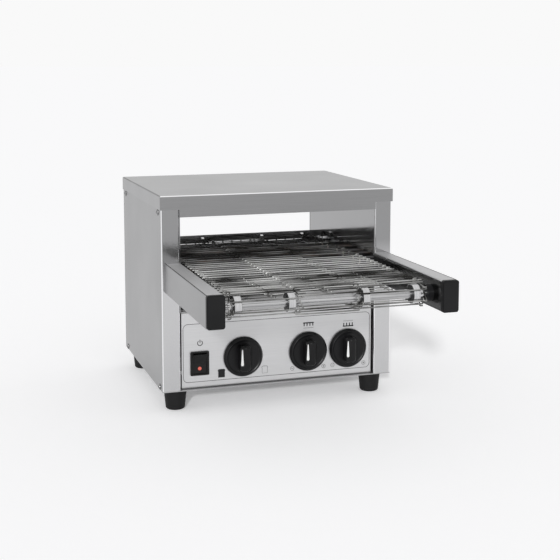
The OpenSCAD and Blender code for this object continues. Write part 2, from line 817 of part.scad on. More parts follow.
// Angle brackets on the left wall, one under the bend of each hairpin
module element_saddles() {
    color(steel) place() for (y = element_ys, z = [top_element_z, bottom_element_z] - [element_r, element_r])
        along_y(y - 4, y + 4) {
            translate([-tunnel_x, z - 1]) square([element_r * 2 + 5, 1]);
            translate([-tunnel_x, z - 6]) square([1, 6]);
        }
}

// ---- crumb tray ----

module crumb_tray() {
    low = [-tray_w / 2, tray_back, deck_z + tray_gap];
    high = [tray_w / 2, body_d - sheet - 8, deck_z + tray_gap + tray_h];
    color(steel) place() {
        difference() {
            block(low, high);
            block(low + [tray_t, tray_t, tray_t], high + [-tray_t, -tray_t, eps]);
        }
        along_x(-40, 40) {
            translate([tray_back - 8, high[2] - tray_t]) square([8 + tray_t, tray_t]);
            translate([tray_back - 8, high[2] - 4]) square([tray_t, 4]);
        }
    }
}

// Angle strips that keep the tray square on the deck
module tray_guides() {
    x = tray_w / 2 + tray_gap;
    color(steel) place() mirrored() along_y(fold_w + 2, body_d - sheet - 2) {
        translate([x, deck_z]) square([1, tray_h]);
        translate([x, deck_z]) square([tunnel_x - x, 1]);
    }
}

// ---- controls ----

control_bush_r = control_r + 1.8;
grip_z = knob_h - 1;

// Knob with its back at z = 0, facing +z
module knob() {
    difference() {
        union() {
            rotate_extrude() polygon([
                [0, 0], [knob_r, 0], [knob_r, 1.4], [knob_r - 2.6, skirt_h - 0.6], [knob_r - 3.6, skirt_h], [0, skirt_h]
            ]);
            linear_extrude(grip_z) grip(0);
            linear_extrude(knob_h) grip(1);
        }
        translate([0, 0, -eps]) cylinder(h = knob_h - 4, r = control_r + press_gap);
        translate([0, grip_l / 2, knob_h]) rotate([90, 0, 0]) linear_extrude(far)
            polygon([[-0.7, 0.1], [0, -1], [0.7, 0.1]]);
    }
}

// Outline of the grip, drawn in by d
module grip(d) {
    rounded([-grip_w / 2 + d, -grip_l / 2 + d], [grip_w / 2 - d, grip_l / 2 - d], 4);
}

// Teardrop let into the left half of a grip, narrow end up
module pointer() {
    translate([2.7 - grip_w / 2, 0, knob_h]) linear_extrude(0.3) {
        translate([0, -grip_l / 2 + 9]) circle(1.7);
        polygon([[-1.62, -grip_l / 2 + 9.5], [1.62, -grip_l / 2 + 9.5], [0.5, grip_l / 2 - 4], [-0.5, grip_l / 2 - 4]]);
    }
}

// Turns a piece that faces +z to face the user, in front of the panel at x
module on_panel(x) {
    translate([x, knob_back, knob_z]) rotate([90, 0, 0]) children();
}

module speed_knob() color(dark) place() on_panel(speed_x) knob();

module top_heat_knob() color(dark) place() on_panel(top_heat_x) knob();

module bottom_heat_knob() color(dark) place() on_panel(bottom_heat_x) knob();

module speed_pointer() color("white") place() on_panel(speed_x) pointer();

module top_heat_pointer() color("white") place() on_panel(top_heat_x) pointer();

module bottom_heat_pointer() color("white") place() on_panel(bottom_heat_x) pointer();

module control_shaft(x) {
    bar_y(x, knob_back - knob_h + 5, panel_y + 14, knob_z, control_r);
}

module speed_shaft() color(polished) place() control_shaft(speed_x);

module top_heat_shaft() color(polished) place() control_shaft(top_heat_x);

module bottom_heat_shaft() color(polished) place() control_shaft(bottom_heat_x);

// Control behind the panel: a bush through the panel, a flange, a housing and a terminal strip
module control(x) {
    y = panel_y + sheet;
    difference() {
        union() {
            bar_y(x, panel_y - 0.2, y + 1, knob_z, control_bush_r);
            along_y(y, y + control_d)
                rounded([x - control_w / 2, knob_z - control_w / 2], [x + control_w / 2, knob_z + control_w / 2], 3);
            for (i = [-1:1]) block(
                [x + i * 10 - 3, y + control_d - 1, knob_z - 8], [x + i * 10 + 3, y + control_d + 8, knob_z - 7]
            );
        }
        bar_y(x, 0, panel_y + 15, knob_z, control_r + run_gap);
    }
}

module speed_control() color(dark) place() control(speed_x);

module top_heat_control() color(dark) place() control(top_heat_x);

module bottom_heat_control() color(dark) place() control(bottom_heat_x);

switch_body_w = bezel_w - 2.4;
switch_body_h = bezel_h - 1.6;
bezel_t = 2;
pivot_y = panel_y + 3;
pivot_r = 1.5;

module switch_housing() {
    color(dark) place() difference() {
        translate([switch_x, 0, switch_z]) {
            along_y(panel_y - bezel_t, panel_y)
                rounded([-bezel_w / 2, -bezel_h / 2], [bezel_w / 2, bezel_h / 2], 1.5);
            block(
                [-switch_body_w / 2, panel_y - 0.1, -switch_body_h / 2],
                [switch_body_w / 2, panel_y + switch_d, switch_body_h / 2]
            );
            for (i = [-1:1]) block(
                [i * tab_step - 0.4, panel_y + switch_d - 1, -3],
                [i * tab_step + 0.4, panel_y + switch_d + tab_l, 3]
            );
        }
        translate([switch_x, 0, switch_z]) block(
            [-rocker_w / 2 - 0.3, -far, -rocker_h / 2 - 1.2], [rocker_w / 2 + 0.3, panel_y + 9, rocker_h / 2 + 1.2]
        );
        bar_x(switch_x - rocker_w / 2 - 2, switch_x + rocker_w / 2 + 2, pivot_y, switch_z, pivot_r + run_gap);
    }
}

// Rocker in its rest position, with its lower end pressed in
module switch_rocker() {
    color(dark) place() difference() {
        union() {
            translate([0, pivot_y, switch_z]) rotate([rocker_travel / 2, 0, 0]) along_x(
                switch_x - rocker_w / 2, switch_x + rocker_w / 2
            ) polygon([
                [-5.4, -rocker_h / 2], [-3.4, 0], [-5.4, rocker_h / 2], [0.5, rocker_h / 2 - 0.5],
                [2.6, 0], [0.5, 0.5 - rocker_h / 2]
            ]);
            bar_x(switch_x - rocker_w / 2 - 1.7, switch_x + rocker_w / 2 + 1.7, pivot_y, switch_z, pivot_r);
        }
        rocker_lens(0.05);
    }
}

// Round lens in the lower half of the rocker, wider than its lens by c
module rocker_lens(c) {
    translate([switch_x, pivot_y, switch_z]) rotate([rocker_travel / 2, 0, 0])
        translate([0, c - 2.6, -rocker_h / 4]) rotate([90, 0, 0]) cylinder(h = 2.2 + 3 * c, r = 2.3 + c);
}

module switch_lens() color("#e0485a") place() rocker_lens(0);

// ---- electrics ----

module terminal_block() {
    low = [-terminal_at[0], terminal_at[1], sheet];
    screw_step = terminal_foot[0] / 5.4;
    color("#e6e1d6") place() difference() {
        union() {
            block(low, low + terminal_foot);
            translate([0, (terminal_foot[1] - terminal_top[0]) / 2, 0])
                block(low, low + [terminal_foot[0], terminal_top[0], terminal_top[1]]);
        }
        for (i = [-2:2]) translate(low + [terminal_foot[0] / 2 + i * screw_step, terminal_foot[1] / 2, terminal_foot[2] - 2])
            cylinder(h = far, r = 2.2);
    }
}

module cable_gland() {
    color(dark) place() difference() {
        union() {
            bar_y(gland_x, body_d - 8, back_y + gland_out, gland_z, gland_r);
            translate([gland_x, back_y + 5, gland_z]) rotate([90, 0, 0]) cylinder(h = 5, r = gland_r + 3, $fn = 6);
            translate([gland_x, body_d, gland_z]) rotate([90, 0, 0]) cylinder(h = 4, r = gland_r + 3, $fn = 6);
        }
        bar_y(gland_x, 0, far, gland_z, cable_r);
    }
}

side_panel_left();
side_panel_right();
top_cover();
base_plate();
front_panel();
rear_panel();
deck_plate();
tunnel_wall_left();
tunnel_wall_right();
tunnel_roof();
insulation_blanket();
side_screws();
feet();
rail_channel_left();
rail_channel_right();
rail_cover_left();
rail_cover_right();
rail_cap_left();
rail_cap_right();
idler_bearings();
idler_shaft();
idler_tube();
idler_hubs();
idler_rims();
conveyor_belt();
drive_bearings();
drive_shaft();
belt_sprockets();
shaft_sprocket();
drive_chain();
motor_sprocket();
output_shaft();
gearmotor();
motor_bracket();
top_elements();
bottom_elements();
element_bushes();
element_saddles();
crumb_tray();
tray_guides();
speed_knob();
top_heat_knob();
bottom_heat_knob();
speed_pointer();
top_heat_pointer();
bottom_heat_pointer();
speed_shaft();
top_heat_shaft();
bottom_heat_shaft();
speed_control();
top_heat_control();
bottom_heat_control();
switch_housing();
switch_rocker();
switch_lens();
terminal_block();
cable_gland();
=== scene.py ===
# Conveyor toaster: finishes, round belt wires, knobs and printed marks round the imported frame.
import math
import random

import bmesh
import bpy
from mathutils import Matrix, Vector


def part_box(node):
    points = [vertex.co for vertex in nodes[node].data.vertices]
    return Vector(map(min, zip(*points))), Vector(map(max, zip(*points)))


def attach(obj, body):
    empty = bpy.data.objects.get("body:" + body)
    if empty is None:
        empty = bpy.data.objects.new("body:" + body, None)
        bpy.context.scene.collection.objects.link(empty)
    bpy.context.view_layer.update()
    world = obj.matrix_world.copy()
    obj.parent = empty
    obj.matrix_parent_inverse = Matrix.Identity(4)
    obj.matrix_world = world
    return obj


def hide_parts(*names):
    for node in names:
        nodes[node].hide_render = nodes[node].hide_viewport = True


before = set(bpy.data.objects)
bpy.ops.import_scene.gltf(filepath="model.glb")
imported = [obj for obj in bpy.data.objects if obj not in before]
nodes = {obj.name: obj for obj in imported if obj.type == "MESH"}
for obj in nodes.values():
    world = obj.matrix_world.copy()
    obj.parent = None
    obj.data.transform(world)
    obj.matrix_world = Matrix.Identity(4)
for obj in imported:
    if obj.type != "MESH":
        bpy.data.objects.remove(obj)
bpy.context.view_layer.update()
print("frame loaded:", len(nodes), "nodes")

# Lengths below are millimetres in the maker's frame: y = 0 at the columns' front, z = 0 under the body
yMiddle = 27.6
footHeight = 27.0


def point(x, y, z):
    return Vector((x, y - yMiddle, z + footHeight)) / 1000


# Place in metres, angles in degrees. The small shift keeps the uprights near upright, as in the photograph
camera = {
    "place": (-0.4448, -1.3939, 0.4395), "tilt": 83.13, "turn": -18.04,
    "lens": 72.96, "sensor": 36, "shiftY": -0.1429, "farEnd": 500,
}

camData = bpy.data.cameras.new("camera")
camData.sensor_width = camera["sensor"]
camData.lens = camera["lens"]
camData.shift_y = camera["shiftY"]
camData.clip_end = camera["farEnd"]
camObject = bpy.data.objects.new("camera", camData)
camObject.location = camera["place"]
camObject.rotation_euler = (math.radians(camera["tilt"]), 0, math.radians(camera["turn"]))
bpy.context.collection.objects.link(camObject)
bpy.context.scene.camera = camObject
bpy.context.scene.view_settings.view_transform = "Standard"


# A node group with its inputs as (label, kind, value) and its outputs as (label, kind)
def newGroup(name, inputs, outputs):
    group = bpy.data.node_groups.new(name, "ShaderNodeTree")
    for label, kind, value in inputs:
        socket = group.interface.new_socket(label, in_out="INPUT", socket_type=kind)
        if value is not None:
            socket.default_value = value
    for label, kind in outputs:
        group.interface.new_socket(label, in_out="OUTPUT", socket_type=kind)
    return group, group.nodes.new("NodeGroupInput"), group.nodes.new("NodeGroupOutput")


# A node whose properties or unlinked inputs take the given values
def addNode(tree, kind, **values):
    node = tree.nodes.new(kind)
    for name, value in values.items():
        if hasattr(node, name):
            setattr(node, name, value)
        else:
            node.inputs[name.replace("_", " ")].default_value = value
    return node


def mathNode(tree, operation, a, b):
    node = addNode(tree, "ShaderNodeMath", operation=operation)
    for socket, value in zip(node.inputs, (a, b)):
        if isinstance(value, (int, float)):
            socket.default_value = value
        else:
            tree.links.new(value, socket)
    return node.outputs[0]


def rangeNode(tree, value, low, high, toLow, toHigh):
    node = addNode(tree, "ShaderNodeMapRange")
    tree.links.new(value, node.inputs["Value"])
    for label, number in zip(("From Min", "From Max", "To Min", "To Max"), (low, high, toLow, toHigh)):
        node.inputs[label].default_value = number
    return node.outputs["Result"]


# Fine lines left by a brushing belt, and the broad smears of handling over them
def makeBrushing():
    group, source, result = newGroup(
        "brushing",
        [
            ("Coordinates", "NodeSocketVector", None), ("Stretch", "NodeSocketVector", (1, 1, 1)),
            ("Depth", "NodeSocketFloat", 1.0),
        ],
        [("Tone", "NodeSocketFloat"), ("Polish", "NodeSocketFloat"), ("Height", "NodeSocketFloat")],
    )
    stretched = addNode(group, "ShaderNodeVectorMath", operation="MULTIPLY")
    group.links.new(source.outputs["Coordinates"], stretched.inputs[0])
    group.links.new(source.outputs["Stretch"], stretched.inputs[1])
    lines = addNode(group, "ShaderNodeTexNoise", Scale=1.0, Detail=5.0, Roughness=0.7)
    group.links.new(stretched.outputs[0], lines.inputs["Vector"])
    smears = addNode(group, "ShaderNodeTexNoise", Scale=7.0, Detail=3.0, Roughness=0.5)
    group.links.new(source.outputs["Coordinates"], smears.inputs["Vector"])
    tone = rangeNode(group, lines.outputs["Fac"], 0.3, 0.7, 0.0, 1.0)
    group.links.new(tone, result.inputs["Tone"])
    lineShare = mathNode(group, "MULTIPLY", lines.outputs["Fac"], 0.45)
    smearShare = mathNode(group, "MULTIPLY", smears.outputs["Fac"], 0.55)
    mixed = mathNode(group, "ADD", lineShare, smearShare)
    group.links.new(rangeNode(group, mixed, 0.35, 0.65, 0.0, 1.0), result.inputs["Polish"])
    height = mathNode(group, "MULTIPLY", lines.outputs["Fac"], source.outputs["Depth"])
    group.links.new(height, result.inputs["Height"])
    return group


# Blotches of heat colour and baked-on crumbs
def makeScorch():
    group, source, result = newGroup(
        "scorch",
        [
            ("Coordinates", "NodeSocketVector", None), ("Size", "NodeSocketFloat", 40.0),
            ("Cover", "NodeSocketFloat", 0.5),
        ],
        [("Mask", "NodeSocketFloat"), ("Height", "NodeSocketFloat")],
    )
    blotch = addNode(group, "ShaderNodeTexNoise", Detail=6.0, Roughness=0.65)
    group.links.new(source.outputs["Coordinates"], blotch.inputs["Vector"])
    group.links.new(source.outputs["Size"], blotch.inputs["Scale"])
    low = mathNode(group, "SUBTRACT", 0.72, mathNode(group, "MULTIPLY", source.outputs["Cover"], 0.4))
    mask = mathNode(group, "MULTIPLY", mathNode(group, "SUBTRACT", blotch.outputs["Fac"], low), 5.0)
    clamp = addNode(group, "ShaderNodeClamp")
    group.links.new(mask, clamp.inputs["Value"])
    group.links.new(clamp.outputs["Result"], result.inputs["Mask"])
    group.links.new(blotch.outputs["Fac"], result.inputs["Height"])
    return group


# Grain of moulded plastic and rubber
def makeMoulding():
    group, source, result = newGroup(
        "moulding",
        [("Coordinates", "NodeSocketVector", None), ("Size", "NodeSocketFloat", 900.0)],
        [("Height", "NodeSocketFloat"), ("Sheen", "NodeSocketFloat")],
    )
    grain = addNode(group, "ShaderNodeTexVoronoi")
    group.links.new(source.outputs["Coordinates"], grain.inputs["Vector"])
    group.links.new(source.outputs["Size"], grain.inputs["Scale"])
    group.links.new(grain.outputs["Distance"], result.inputs["Height"])
    wiped = addNode(group, "ShaderNodeTexNoise", Scale=22.0, Detail=4.0)
    group.links.new(source.outputs["Coordinates"], wiped.inputs["Vector"])
    group.links.new(rangeNode(group, wiped.outputs["Fac"], 0.3, 0.7, 0.0, 1.0), result.inputs["Sheen"])
    return group


brushing = makeBrushing()
scorch = makeScorch()
moulding = makeMoulding()
brushLines = {"across": 1600.0, "along": 14.0, "relief": 0.00002}  # waves to the metre, height in metres


def startMaterial(name, color, metallic, roughness):
    material = bpy.data.materials.new(name)
    material.use_nodes = True
    shader = material.node_tree.nodes["Principled BSDF"]
    shader.inputs["Base Color"].default_value = (*color, 1)
    shader.inputs["Metallic"].default_value = metallic
    shader.inputs["Roughness"].default_value = roughness
    coordinates = material.node_tree.nodes.new("ShaderNodeTexCoord")
    return material, material.node_tree, shader, coordinates.outputs["Object"]


def placeGroup(tree, group, coordinates, **values):
    node = tree.nodes.new("ShaderNodeGroup")
    node.node_tree = group
    tree.links.new(coordinates, node.inputs["Coordinates"])
    for name, value in values.items():
        node.inputs[name].default_value = value
    return node


def blendColors(tree, mask, first, second):
    mix = addNode(tree, "ShaderNodeMix", data_type="RGBA")
    tree.links.new(mask, mix.inputs["Factor"])
    for socket, color in ((mix.inputs[6], first), (mix.inputs[7], second)):
        if isinstance(color, tuple):
            socket.default_value = (*color, 1)
        else:
            tree.links.new(color, socket)
    return mix.outputs[2]


def addBump(tree, shader, height, distance, strength=1.0):
    bump = addNode(tree, "ShaderNodeBump", Distance=distance, Strength=strength)
    tree.links.new(height, bump.inputs["Height"])
    tree.links.new(bump.outputs["Normal"], shader.inputs["Normal"])


def grey(level):
    return (level, level, level * 1.01)


# Mask of the faces that look along one axis, growing as the normal's part on that axis goes from low to high
def facing(tree, axis, low, high):
    geometry = addNode(tree, "ShaderNodeNewGeometry")
    split = addNode(tree, "ShaderNodeSeparateXYZ")
    tree.links.new(geometry.outputs["Normal"], split.inputs[0])
    along = split.outputs[axis]
    if low >= 0:
        along = mathNode(tree, "ABSOLUTE", along, 0.0)
    return rangeNode(tree, along, low, high, 0.0, 1.0)


# Mask of the bends between two flat faces that look along the axes first and second
def paintedBendMask(tree, first, second):
    return mathNode(tree, "MULTIPLY", facing(tree, first, 0.36, 0.5), facing(tree, second, 0.36, 0.5))


# Sheet steel: level is its brightness, along the direction that its lines run. The faces that look along one
# axis can get a roughness of their own and a painted level, lighter or darker as light falls on them; those
# faces can get a painted level of their own over the rails, a painted reflection; and each bend between two
# faces a painted highlight or painted shade
def sheetSteel(name, level, along, rough=(0.3, 0.42), contrast=0.06, paintedFaces=None, paintedAboveRails=None, bends=()):
    material, tree, shader, coordinates = startMaterial(name, grey(level), 1.0, rough[0])
    stretch = [brushLines["across"]] * 3
    stretch["xyz".index(along)] = brushLines["along"]
    lines = placeGroup(tree, brushing, coordinates, Stretch=stretch)

    def toned(amount):
        darker, lighter = grey(amount * (1 - contrast)), grey(amount * (1 + contrast))
        return blendColors(tree, lines.outputs["Tone"], darker, lighter)

    color = toned(level)
    polish = rangeNode(tree, lines.outputs["Polish"], 0, 1, *rough)
    # Painted light and shade: the chosen faces get a level of their own, lighter or darker as light falls on
    # them
    if paintedFaces:
        mask = facing(tree, *paintedFaces["faces"])
        paintedFaceColor = toned(paintedFaces["level"])
        # Painted reflection: over the rails those faces blend to a level of their own
        if paintedAboveRails:
            split = addNode(tree, "ShaderNodeSeparateXYZ")
            tree.links.new(coordinates, split.inputs[0])
            low, top = (point(0, 0, paintedAboveRails[end]).z for end in ("from", "to"))
            high = rangeNode(tree, split.outputs["Z"], low, top, 0.0, 1.0)
            paintedFaceColor = blendColors(tree, high, paintedFaceColor, toned(paintedAboveRails["level"]))
        color = blendColors(tree, mask, color, paintedFaceColor)
        smoother = rangeNode(tree, lines.outputs["Polish"], 0, 1, *paintedFaces["rough"])
        polish = mathNode(
            tree, "ADD", mathNode(tree, "MULTIPLY", smoother, mask),
            mathNode(tree, "MULTIPLY", polish, mathNode(tree, "SUBTRACT", 1.0, mask)),
        )
    # Painted highlights and painted shade: each bend between two given faces gets a level of its own
    for first, second, amount in bends:
        color = blendColors(tree, paintedBendMask(tree, first, second), color, toned(amount))
    tree.links.new(color, shader.inputs["Base Color"])
    tree.links.new(polish, shader.inputs["Roughness"])
    addBump(tree, shader, lines.outputs["Height"], brushLines["relief"])
    return material


# Turned or drawn steel, lined dark and bright in its colour: at a strong contrast the lines are painted
# reflections, as a polished roller mirrors its surroundings, and at a weak one they are brushing
def rollerSteel(name, level, stretch, contrast, rough):
    material, tree, shader, coordinates = startMaterial(name, grey(level), 1.0, rough)
    lines = placeGroup(tree, brushing, coordinates, Stretch=stretch)
    darker, lighter = grey(level * (1 - contrast)), grey(level * (1 + contrast))
    tree.links.new(blendColors(tree, lines.outputs["Tone"], darker, lighter), shader.inputs["Base Color"])
    polish = rangeNode(tree, lines.outputs["Polish"], 0, 1, rough, rough + 0.12)
    tree.links.new(polish, shader.inputs["Roughness"])
    addBump(tree, shader, lines.outputs["Height"], brushLines["relief"])
    return material


# Polished or heat-stained steel: stain is the share that the stains cover
def mirrorSteel(name, level, rough=(0.06, 0.16), stain=0.3, stainColor=(0.2, 0.17, 0.14)):
    material, tree, shader, coordinates = startMaterial(name, grey(level), 1.0, rough[0])
    marks = placeGroup(tree, scorch, coordinates, Size=26.0, Cover=stain)
    color = blendColors(tree, marks.outputs["Mask"], grey(level), stainColor)
    tree.links.new(color, shader.inputs["Base Color"])
    tree.links.new(rangeNode(tree, marks.outputs["Height"], 0.3, 0.7, *rough), shader.inputs["Roughness"])
    addBump(tree, shader, marks.outputs["Height"], 0.00003, 0.5)
    return material


# Moulded plastic, rubber, porcelain and ink: size is the grain's fineness and relief its depth in metres
def plastic(name, color, rough=(0.3, 0.45), size=900.0, relief=0.00002, gloss=0.5):
    material, tree, shader, coordinates = startMaterial(name, color, 0.0, rough[0])
    shader.inputs["Specular IOR Level"].default_value = gloss
    grain = placeGroup(tree, moulding, coordinates, Size=size)
    lighter = tuple(min(1.0, c * 1.25 + 0.002) for c in color)
    tinted = blendColors(tree, grain.outputs["Sheen"], color, lighter)
    tree.links.new(tinted, shader.inputs["Base Color"])
    tree.links.new(rangeNode(tree, grain.outputs["Sheen"], 0, 1, *rough), shader.inputs["Roughness"])
    addBump(tree, shader, grain.outputs["Height"], relief)
    return material


# Belt wire: bright drawn wire with baked-on stains and a wandering tone for each wire. Along y it is duller at
# the front and painted dark in the tunnel, a painted shade. stops are (distance along y in the maker's frame,
# share of the dark colour)
def beltSteel(name, bright, dark, stops):
    material, tree, shader, coordinates = startMaterial(name, bright, 1.0, 0.25)
    split = addNode(tree, "ShaderNodeSeparateXYZ")
    tree.links.new(coordinates, split.inputs[0])
    start, end = stops[0][0], stops[-1][0]
    # Painted shade along y: darkest in the tunnel, where the tunnel shades the wire
    paintedShadeRamp = addNode(tree, "ShaderNodeValToRGB")
    along = rangeNode(tree, split.outputs["Y"], point(0, start, 0).y, point(0, end, 0).y, 0.0, 1.0)
    tree.links.new(along, paintedShadeRamp.inputs["Fac"])
    elements = paintedShadeRamp.color_ramp.elements
    for y, _ in stops[1:-1]:
        elements.new((y - start) / (end - start))
    for element, (_, share) in zip(elements, stops):
        element.color = (share, share, share, 1)
    marks = placeGroup(tree, scorch, coordinates, Size=55.0, Cover=0.45)
    # Every wire has its own tone, which wanders along it
    stretched = addNode(tree, "ShaderNodeVectorMath", operation="MULTIPLY")
    tree.links.new(coordinates, stretched.inputs[0])
    stretched.inputs[1].default_value = (8, 60, 60)
    patch = addNode(tree, "ShaderNodeTexNoise", Scale=1.0, Detail=2.0)
    tree.links.new(stretched.outputs[0], patch.inputs["Vector"])
    wide = addNode(tree, "ShaderNodeTexNoise", Scale=16.0, Detail=1.0)
    tree.links.new(coordinates, wide.inputs["Vector"])
    cover = mathNode(tree, "ADD", mathNode(tree, "MULTIPLY", marks.outputs["Mask"], 0.3), paintedShadeRamp.outputs["Color"])
    cover = mathNode(tree, "ADD", cover, rangeNode(tree, patch.outputs["Fac"], 0.3, 0.7, -0.45, 0.45))
    cover = mathNode(tree, "ADD", cover, rangeNode(tree, wide.outputs["Fac"], 0.35, 0.65, -0.2, 0.3))
    clamp = addNode(tree, "ShaderNodeClamp")
    tree.links.new(cover, clamp.inputs["Value"])
    tree.links.new(blendColors(tree, clamp.outputs["Result"], bright, dark), shader.inputs["Base Color"])
    tree.links.new(rangeNode(tree, clamp.outputs["Result"], 0, 1, 0.3, 0.5), shader.inputs["Roughness"])
    addBump(tree, shader, marks.outputs["Height"], 0.00004, 0.6)
    return material


# Faces that get a painted level of their own: the fronts, and the webs of the rail channels
frontFaces = ("Y", -0.3, -0.9)
webFaces = ("X", 0.5, 0.9)
finishes = {
    # Side panels: the front faces are painted lighter than the sides, a painted light, and darker over the
    # rails, a painted reflection; the bends from side to front carry a painted highlight
    "sideSteel": sheetSteel(
        "sideSteel", 0.33, "y", paintedFaces={"faces": frontFaces, "level": 0.58, "rough": (0.08, 0.13)},
        paintedAboveRails={"from": 140, "to": 182, "level": 0.31}, bends=[("X", "Y", 0.95)],
    ),
    # Top cover: the front lip is painted darker, a painted shade; the bend from top to side carries painted
    # shade and the bends to the front a painted highlight
    "coverSteel": sheetSteel(
        "coverSteel", 0.35, "x", paintedFaces={"faces": frontFaces, "level": 0.28, "rough": (0.25, 0.35)},
        bends=[("X", "Z", 0.16), ("X", "Y", 0.95), ("Y", "Z", 0.95)],
    ),
    "panelSteel": sheetSteel("panelSteel", 0.6, "x", rough=(0.36, 0.5)),
    "backSteel": sheetSteel("backSteel", 0.42, "x"),
    "railSteel": sheetSteel("railSteel", 0.355, "y", rough=(0.4, 0.5)),
    # Rail channels: the webs that face across are painted dark, a painted reflection of the dark belt
    "channelSteel": sheetSteel(
        "channelSteel", 0.5, "y", rough=(0.5, 0.6),
        paintedFaces={"faces": webFaces, "level": 0.1, "rough": (0.14, 0.24)},
    ),
    "innerSteel": sheetSteel("innerSteel", 0.36, "x", rough=(0.35, 0.5)),
    "mirror": mirrorSteel("mirror", 0.33, stain=0.12, stainColor=(0.12, 0.11, 0.1)),
    "turnedSteel": mirrorSteel("turnedSteel", 0.6, (0.14, 0.28), 0.2, (0.4, 0.38, 0.35)),
    "screwSteel": mirrorSteel("screwSteel", 0.28, (0.2, 0.3), 0.1, (0.3, 0.3, 0.3)),
    # The idler tube's strong dark and bright lines are painted reflections
    "tubeSteel": rollerSteel("tubeSteel", 0.45, (10.0, 700.0, 700.0), 0.4, 0.22),
    "rimSteel": rollerSteel("rimSteel", 0.58, (900.0, 60.0, 60.0), 0.16, 0.16),
    "chainSteel": mirrorSteel("chainSteel", 0.16, (0.35, 0.5), 0.6, (0.05, 0.04, 0.03)),
    "hubSteel": mirrorSteel("hubSteel", 0.06, (0.4, 0.55), 0.5, (0.04, 0.035, 0.03)),
    "bronze": mirrorSteel("bronze", 0.4, (0.25, 0.4), 0.4, (0.42, 0.28, 0.13)),
    "casting": mirrorSteel("casting", 0.24, (0.5, 0.62), 0.4, (0.14, 0.14, 0.14)),
    "sheath": mirrorSteel("sheath", 0.1, (0.45, 0.6), 0.6, (0.12, 0.075, 0.05)),
    "capPlastic": plastic("capPlastic", (0.0075, 0.0075, 0.008), (0.42, 0.55), 1300.0, 0.00003, 0.15),
    "knobPlastic": plastic("knobPlastic", (0.0055, 0.0055, 0.006), (0.28, 0.4), 1500.0, 0.00001, 0.2),
    "switchPlastic": plastic("switchPlastic", (0.006, 0.006, 0.006), (0.25, 0.36), 1500.0, 0.00001, 0.2),
    "rubber": plastic("rubber", (0.008, 0.008, 0.0085), (0.5, 0.62), 800.0, 0.00004, 0.15),
    "pointerWhite": plastic("pointerWhite", (0.7, 0.7, 0.69), (0.3, 0.4), 1500.0, 0.00001),
    "porcelain": plastic("porcelain", (0.72, 0.69, 0.62), (0.25, 0.4), 700.0, 0.00002),
    "blanket": plastic("blanket", (0.62, 0.58, 0.48), (0.8, 0.95), 260.0, 0.0006),
    "ink": plastic("ink", (0.008, 0.008, 0.009), (0.5, 0.6), 1200.0, 0.00001, 0.2),
    "paleInk": plastic("paleInk", (0.1, 0.1, 0.1), (0.5, 0.6), 1200.0, 0.00001, 0.2),
    # The dark colour serves the baked-on stains and the painted shade; the stops make the wire duller at the
    # front and darkest in the tunnel
    "beltWire": beltSteel("beltWire", (0.62, 0.62, 0.61), (0.03, 0.029, 0.027), [
        (-200, 0.62), (-130, 0.66), (-90, 0.52), (-65, 0.25), (-20, 0.0), (8, 0.12), (32, 0.55), (60, 0.82),
        (250, 1.0),
    ]),
}

# The signal lens is lit faintly from inside
lens = {
    "glow": 0.12, "grain": 1400.0, "relief": 0.00003,
    "Base Color": ((0.42, 0.05, 0.035), (0.6, 0.13, 0.09)),
    "Emission Color": ((0.8, 0.1, 0.07), (1.0, 0.25, 0.2)),
}
lensPlastic, tree, shader, coordinates = startMaterial("signalLens", (0.5, 0.06, 0.04), 0.0, 0.2)
ripple = placeGroup(tree, moulding, coordinates, Size=lens["grain"])
for label in ("Base Color", "Emission Color"):
    tree.links.new(blendColors(tree, ripple.outputs["Sheen"], *lens[label]), shader.inputs[label])
shader.inputs["Emission Strength"].default_value = lens["glow"]
addBump(tree, shader, ripple.outputs["Height"], lens["relief"])
finishes["signalLens"] = lensPlastic

finishOfNode = {
    "sideSteel": ["side_panel_left", "side_panel_right"],
    "coverSteel": ["top_cover"],
    "panelSteel": ["front_panel"],
    "backSteel": ["rear_panel", "base_plate"],
    "railSteel": ["rail_cover_left", "rail_cover_right"],
    "channelSteel": ["rail_channel_left", "rail_channel_right"],
    "innerSteel": ["deck_plate", "motor_bracket", "element_saddles", "crumb_tray", "tray_guides"],
    "mirror": ["tunnel_wall_left", "tunnel_wall_right", "tunnel_roof"],
    "turnedSteel": [
        "idler_shaft", "drive_shaft", "output_shaft", "speed_shaft", "top_heat_shaft", "bottom_heat_shaft",
        "belt_sprockets",
    ],
    "screwSteel": ["side_screws"],
    "tubeSteel": ["idler_tube"],
    "rimSteel": ["idler_rims"],
    "chainSteel": ["drive_chain", "shaft_sprocket", "motor_sprocket"],
    "hubSteel": ["idler_hubs"],
    "bronze": ["drive_bearings"],
    "casting": ["gearmotor"],
    "sheath": ["top_elements", "bottom_elements"],
    "capPlastic": ["rail_cap_left", "rail_cap_right", "idler_bearings", "cable_gland"],
    "knobPlastic": [
        "speed_knob", "top_heat_knob", "bottom_heat_knob", "speed_control", "top_heat_control",
        "bottom_heat_control",
    ],
    "switchPlastic": ["switch_housing", "switch_rocker"],
    "rubber": ["feet"],
    "pointerWhite": ["speed_pointer", "top_heat_pointer", "bottom_heat_pointer"],
    "porcelain": ["element_bushes", "terminal_block"],
    "blanket": ["insulation_blanket"],
    "beltWire": ["conveyor_belt"],
    "signalLens": ["switch_lens"],
}
for finish, names in finishOfNode.items():
    for name in names:
        for materialSlot in nodes[name].material_slots:
            materialSlot.material = finishes[finish]
print("finishes on", sum(len(names) for names in finishOfNode.values()), "nodes")


# Gives a piece its material and body, and hides the nodes that it stands in for. slotName is not used
def finishPiece(piece, body, finish, slotName, *replaced):
    piece.data.materials.clear()
    piece.data.materials.append(finishes[finish])
    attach(piece, body)
    if replaced:
        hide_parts(*replaced)
    return piece


